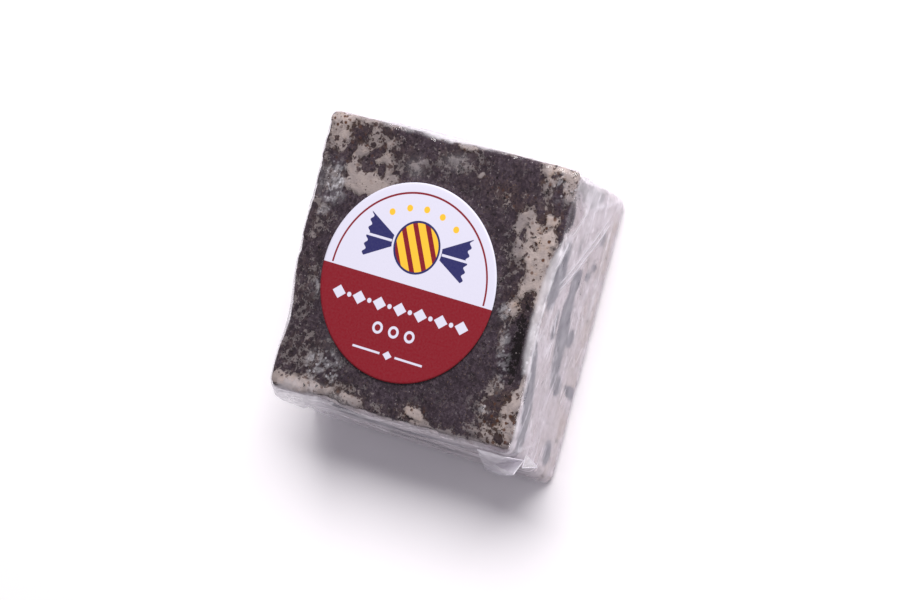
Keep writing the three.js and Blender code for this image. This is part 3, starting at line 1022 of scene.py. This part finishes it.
# %% The loose film, layer by layer
points = np.zeros((0, 3))
faces = []
haze = []
for corners, milk, (first, last) in SHEETS:
    edge = []
    free = []
    for number, (start, end) in enumerate(edges_of(corners)):
        steps = max(2, round(math.dist(start, end) / 0.4))
        edge.append(np.linspace(start, end, steps, endpoint=False))
        free += [first <= number < last] * steps
    edge = np.vstack(edge)
    edge += 0.25 * (np.column_stack([rough(edge, 3.0, 2, seed=n) for n in (113, 127, 131)]) - 0.5)
    centre = edge.mean(axis=0)
    outward = np.cross(edge - centre, np.roll(edge, -1, axis=0) - centre).sum(axis=0)
    outward /= np.linalg.norm(outward)
    outward *= np.sign(outward @ centre)
    shares = np.linspace(0, 1, SHEET_RINGS + 1)[1:]
    outer = np.vstack([centre] + [centre + share * (edge - centre) for share in shares])
    out_share = np.concatenate([[0.0], np.repeat(shares, len(edge))])
    puff = 0.5 * (rough(outer, 4.0, 3, seed=111) - 0.4) * (1 - out_share ** 3)
    outer = outer + np.outer(puff, outward)
    roll_points, roll_faces = thin_tube(edge[free], EDGE_ROLL, 8)
    faces += shifted(plate_faces(SHEET_RINGS, len(edge)), len(points))
    faces += shifted(roll_faces, len(points) + 2 * len(outer))
    haze += [milk] * 2 * len(outer) + [ROLL_HAZE] * len(roll_points)
    points = np.vstack([points, outer, outer - SHEET_THICKNESS * outward, roll_points])
plain = np.zeros(len(points))
sheets = new_piece("loose_film", points, faces, haze=haze, side=plain + 0.4, crinkle=plain)
print("loose film has", len(sheets.data.polygons), "faces")

# %% [markdown]
# Clear film is mostly see-through, with a thin reflection that grows at grazing angles. One Mix
# Shader mixes clear and glossy by Fresnel, another mixes in a milky white by the haze value. The
# milky part also lets light through from behind, as thin plastic does. The milky white also
# carries painted highlights: glints where the film is crinkled, and lines along the folds.

# %% Material of the film
FILM_MILK = (0.88, 0.855, 0.91, 1)
MOST_MIRROR = 0.30


def blend(share, first, second):
    return put("MixShader", {0: share, 1: first.outputs[0], 2: second.outputs[0]})


def highlight_lines(size_mm, offset, stretch):
    """Thin wandering painted highlight lines, where soft noise passes through its middle value."""
    wave = noise(size_mm, 4, 0.55, offset, stretch) * 2.0 - 1.0
    return ramp(1.0 - abs(wave), 0.90, 0.99)


def fold_highlight(face, x1, y1, x2, y2, half_width):
    """A straight painted highlight line on one face of the film, drawn by its distance."""
    way, axes = FACES[face]
    (x1, x2), (y1, y2) = [
        [(place + MIDDLE[axis]) * MM for place in ends] for axis, ends in zip(axes, ((x1, x2), (y1, y2)))]
    long = math.dist((x1, y1), (x2, y2))
    run, rise = (x2 - x1) / long, (y2 - y1) / long
    place = split(place_of())
    u, v = place[axes[0]], place[axes[1]]
    along = u * run + v * rise - (x1 * run + y1 * rise)
    beside = v * run - u * rise + (x1 * rise - y1 * run)
    past = abs(along - long / 2) - long / 2
    line = ramp(abs(beside), 2.2 * half_width * MM, half_width * MM) * ramp(past, 0.0, -2.0 * MM)
    outward = split(put("NewGeometry").outputs["Normal"])
    number = next(n for n in range(3) if way[n])
    return line * ramp(outward[number] * way[number], 0.4, 0.7)


material("clear_wrap", film, sheets)
crinkle = attribute("crinkle")
side = attribute("side")
creased = bump(noise(1.1, 4, 0.7), crinkle * 0.7 + side * 0.24 + 0.08, 0.30)
clear = put("BsdfTransparent", {"Color": (0.99, 0.99, 0.995, 1)})
gloss = put("BsdfGlossy", {"Color": (1, 1, 1, 1), "Roughness": 0.06, "Normal": creased})
edge = put("Fresnel", {"IOR": 1.40, "Normal": creased})
skin = blend(calculate("MINIMUM", edge.outputs[0], MOST_MIRROR), clear, gloss)
milk = put("BsdfPrincipled", {"Base Color": FILM_MILK, "Roughness": 0.45, "Normal": creased})
through = put("BsdfTranslucent", {"Color": FILM_MILK})
# painted glints where the film is crinkled: thin white lines and round specks of milky haze
glint_flecks = crinkle * highlight_lines(4.5, 0.05, (1.0, 0.6, 1.0))
glint_flecks *= ramp(noise(2.2, 2, 0.5, 0.33), 0.46, 0.58)
glint_beads, fate = specks(1.05, 0.36, 0.15, 0.041)
glint_beads *= ramp(fate, 0.52, 0.58) * crinkle
# painted highlights: white lines of milky haze along the folds of the sides
streak = highlight_lines(4.2, 0.09, (0.22, 0.22, 1.0)) * side
streak *= ramp(noise(5.0, 2, 0.5, 0.6), 0.42, 0.6)
for face, *line, _, _, _, half_width in FOLDS:
    if half_width:
        streak = larger(streak, fold_highlight(face, *line, half_width) * 1.6)
cloud = noise(3.0, 3, 0.6, 0.02, (0.4, 0.4, 1.0))
share = attribute("haze") * ramp(cloud, 0.3, 0.7, 0.75, 1.25)
share = clamped(share + (glint_flecks * 0.40 + glint_beads * 0.44 + streak * 0.36))
show(blend(share, skin, blend(0.4, milk, through)))
for piece in (film, sheets):
    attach(piece, "root")
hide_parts("film")
print("film is on")

# %% [markdown]
# ## The label
#
# A paper disc, pressed on to the film. Every point of it knows its place in millimetres from the
# label's middle, and the material draws with distances: inside a circle, above a line, within a
# bar. Edges stay sharp at any zoom.

# %% The paper disc
LABEL_TURN = math.radians(-1.5)
LABEL_SUNK = 0.19       # the print lies this far below the measured top
PAPER_GAP = 0.02
RINGS = 56
SPOKES = 180

radii = LABEL_RADIUS * np.linspace(0, 1, RINGS + 1)[1:]
angles = np.linspace(0, 2 * math.pi, SPOKES, endpoint=False)
flat = np.array([(0.0, 0.0)] + [(r * math.cos(a), r * math.sin(a)) for r in radii for a in angles])
points = np.column_stack([flat + LABEL_CENTRE, np.zeros(len(flat))])
wave = 0.10 * (rough(points, 14.0, 2, seed=41) - 0.5)
edge = np.hypot(*flat.T) / LABEL_RADIUS
points[:, 2] = LABEL_TOP - LABEL_SUNK + 0.8 * wave - 0.05 * ease((edge - 0.97) / 0.03)
low = points.copy()
low[:, 2] = HEIGHT + PAPER_GAP
label = new_piece("paper_label", np.vstack([points, low]), plate_faces(RINGS, SPOKES))
printed = flat @ np.array(Matrix.Rotation(-LABEL_TURN, 2)).T
layer = label.data.attributes.new("print_mm", "FLOAT_VECTOR", "POINT")
both = np.column_stack([np.vstack([printed, printed]), np.zeros(2 * len(flat))])
layer.data.foreach_set("vector", both.astype(np.float32).ravel())
print("label is", round(2 * LABEL_RADIUS, 2), "mm across")

# %% [markdown]
# The printed design is a plain one of our own: a wrapped sweet on white over a row of lozenges
# on red, in the red, navy and yellow of a sweet shop. A shape is a distance: below 0 is inside.

# %% Drawing with distances
RED = (0.21, 0.006, 0.014, 1)
NAVY = (0.022, 0.022, 0.115, 1)
YELLOW = (0.86, 0.50, 0.035, 1)
PAPER = (0.665, 0.650, 0.775, 1)
PRINT_EDGE = 0.05


def moved(place, centre):
    return place[0] - centre[0], place[1] - centre[1]


def size(u, v):
    return calculate("SQRT", u * u + v * v)


def disc(place, centre, radius):
    return size(*moved(place, centre)) - radius


def ring(place, centre, radius, width):
    return abs(disc(place, centre, radius)) - width / 2


def bar(place, centre, half_length, half_width):
    u, v = moved(place, centre)
    return larger(abs(u) - half_length, abs(v) - half_width)


def lozenge(u, v, half_length, half_height):
    whole = abs(u) / half_length + abs(v) / half_height - 1.0
    return whole * (min(half_length, half_height) * 0.8)


def either(joined, *shapes):
    for shape in shapes:
        joined = calculate("MINIMUM", joined, shape)
    return joined


def ink(ground, shape, colour):
    return mix(ramp(shape, PRINT_EDGE, -PRINT_EDGE), ground, colour)


print("the drawing words are ready")

# %% The print and its paper
SPLIT = -0.45
SWEET = (0.0, 8.0)
SWEET_RADIUS = 5.7
TWIST_INNER = 5.0
TWIST_OUTER = 13.0
TWIST_SPREAD = 0.55
STRIPE_STEP = 3.4
GEM_ROW = (0.0, -6.1)
GEM_STEP = 5.4
STAR_PLACES = (-8.4, -4.3, 0.0, 4.3, 8.4)
RULE_HEIGHT = -16.6
FIBRE = (0.35, 0.33, 0.36, 1)

material("printed_paper", label)
place = split(put("Attribute", attribute_name="print_mm").outputs["Vector"])
ground = ink(PAPER, ring(place, (0, 0), 19.9, 0.45), RED)
print("the white field has", len(board.nodes), "nodes")

# %% A wrapped sweet: a striped ball between two twisted ends
u, v = moved(place, SWEET)
away = abs(u)
wedge = abs(v) - (away - (TWIST_INNER - 1.0)) * TWIST_SPREAD
scallop = calculate("SINE", v * 3.4) * 0.35
end = away + scallop - TWIST_OUTER
ground = ink(ground, larger(larger(wedge, end), TWIST_INNER - away), NAVY)
pleat = larger(abs(v) - 0.28, TWIST_INNER + 1.6 - away)
ground = ink(ground, larger(pleat, end), PAPER)
ground = ink(ground, disc(place, SWEET, SWEET_RADIUS + 0.75), PAPER)
ball = disc(place, SWEET, SWEET_RADIUS)
ground = ink(ground, ball, YELLOW)
wave = calculate("PINGPONG", u + v * 0.55 + 40.0, STRIPE_STEP / 2)
ground = ink(ground, larger(wave - STRIPE_STEP * 0.2, ball), RED)
ground = ink(ground, ring(place, SWEET, SWEET_RADIUS, 0.5), NAVY)
stars = [disc(place, (across, 16.6 - 0.035 * across * across), 0.75) for across in STAR_PLACES]
ground = ink(ground, either(*stars), YELLOW)
print("with the sweet and stars,", len(board.nodes), "nodes")

# %% The red field: lozenges and dots, three rings, and a rule
ground = ink(ground, place[1] - (SPLIT + 0.35), PAPER)
ground = ink(ground, place[1] - SPLIT, RED)
u, v = moved(place, GEM_ROW)
near = calculate("PINGPONG", u + 10 * GEM_STEP, GEM_STEP / 2)
dots = size(GEM_STEP / 2 - near, v) - 0.55
row = larger(either(lozenge(near, v, 1.75, 1.55), dots), bar(place, GEM_ROW, 18.3, 2.0))
ground = ink(ground, row, PAPER)
rings = [ring(place, (across, -11.3), 1.05, 0.6) for across in (-4.2, 0.0, 4.2)]
ground = ink(ground, either(*rings), PAPER)
rules = [bar(place, (across, RULE_HEIGHT), 3.6, 0.24) for across in (-5.6, 5.6)]
gem = lozenge(*moved(place, (0.0, RULE_HEIGHT)), 1.2, 1.0)
ground = ink(ground, either(*rules, gem), PAPER)
ground = mix(ramp(noise(0.5, 4, 0.7), 0.2, 0.8, 0.0, 0.06), ground, FIBRE)
show(put("BsdfPrincipled", {
    "Base Color": ground, "Roughness": 0.55, "Specular IOR Level": 0.12,
    "Normal": bump(noise(0.3, 3, 0.6, 0.9), 0.12, 0.05),
}))
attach(label, "root")
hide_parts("label")
print("label is printed")

# %% [markdown]
# ## The end
#
# The last cell only says that the scene is built.

# %% Finish
print("the scene is built")
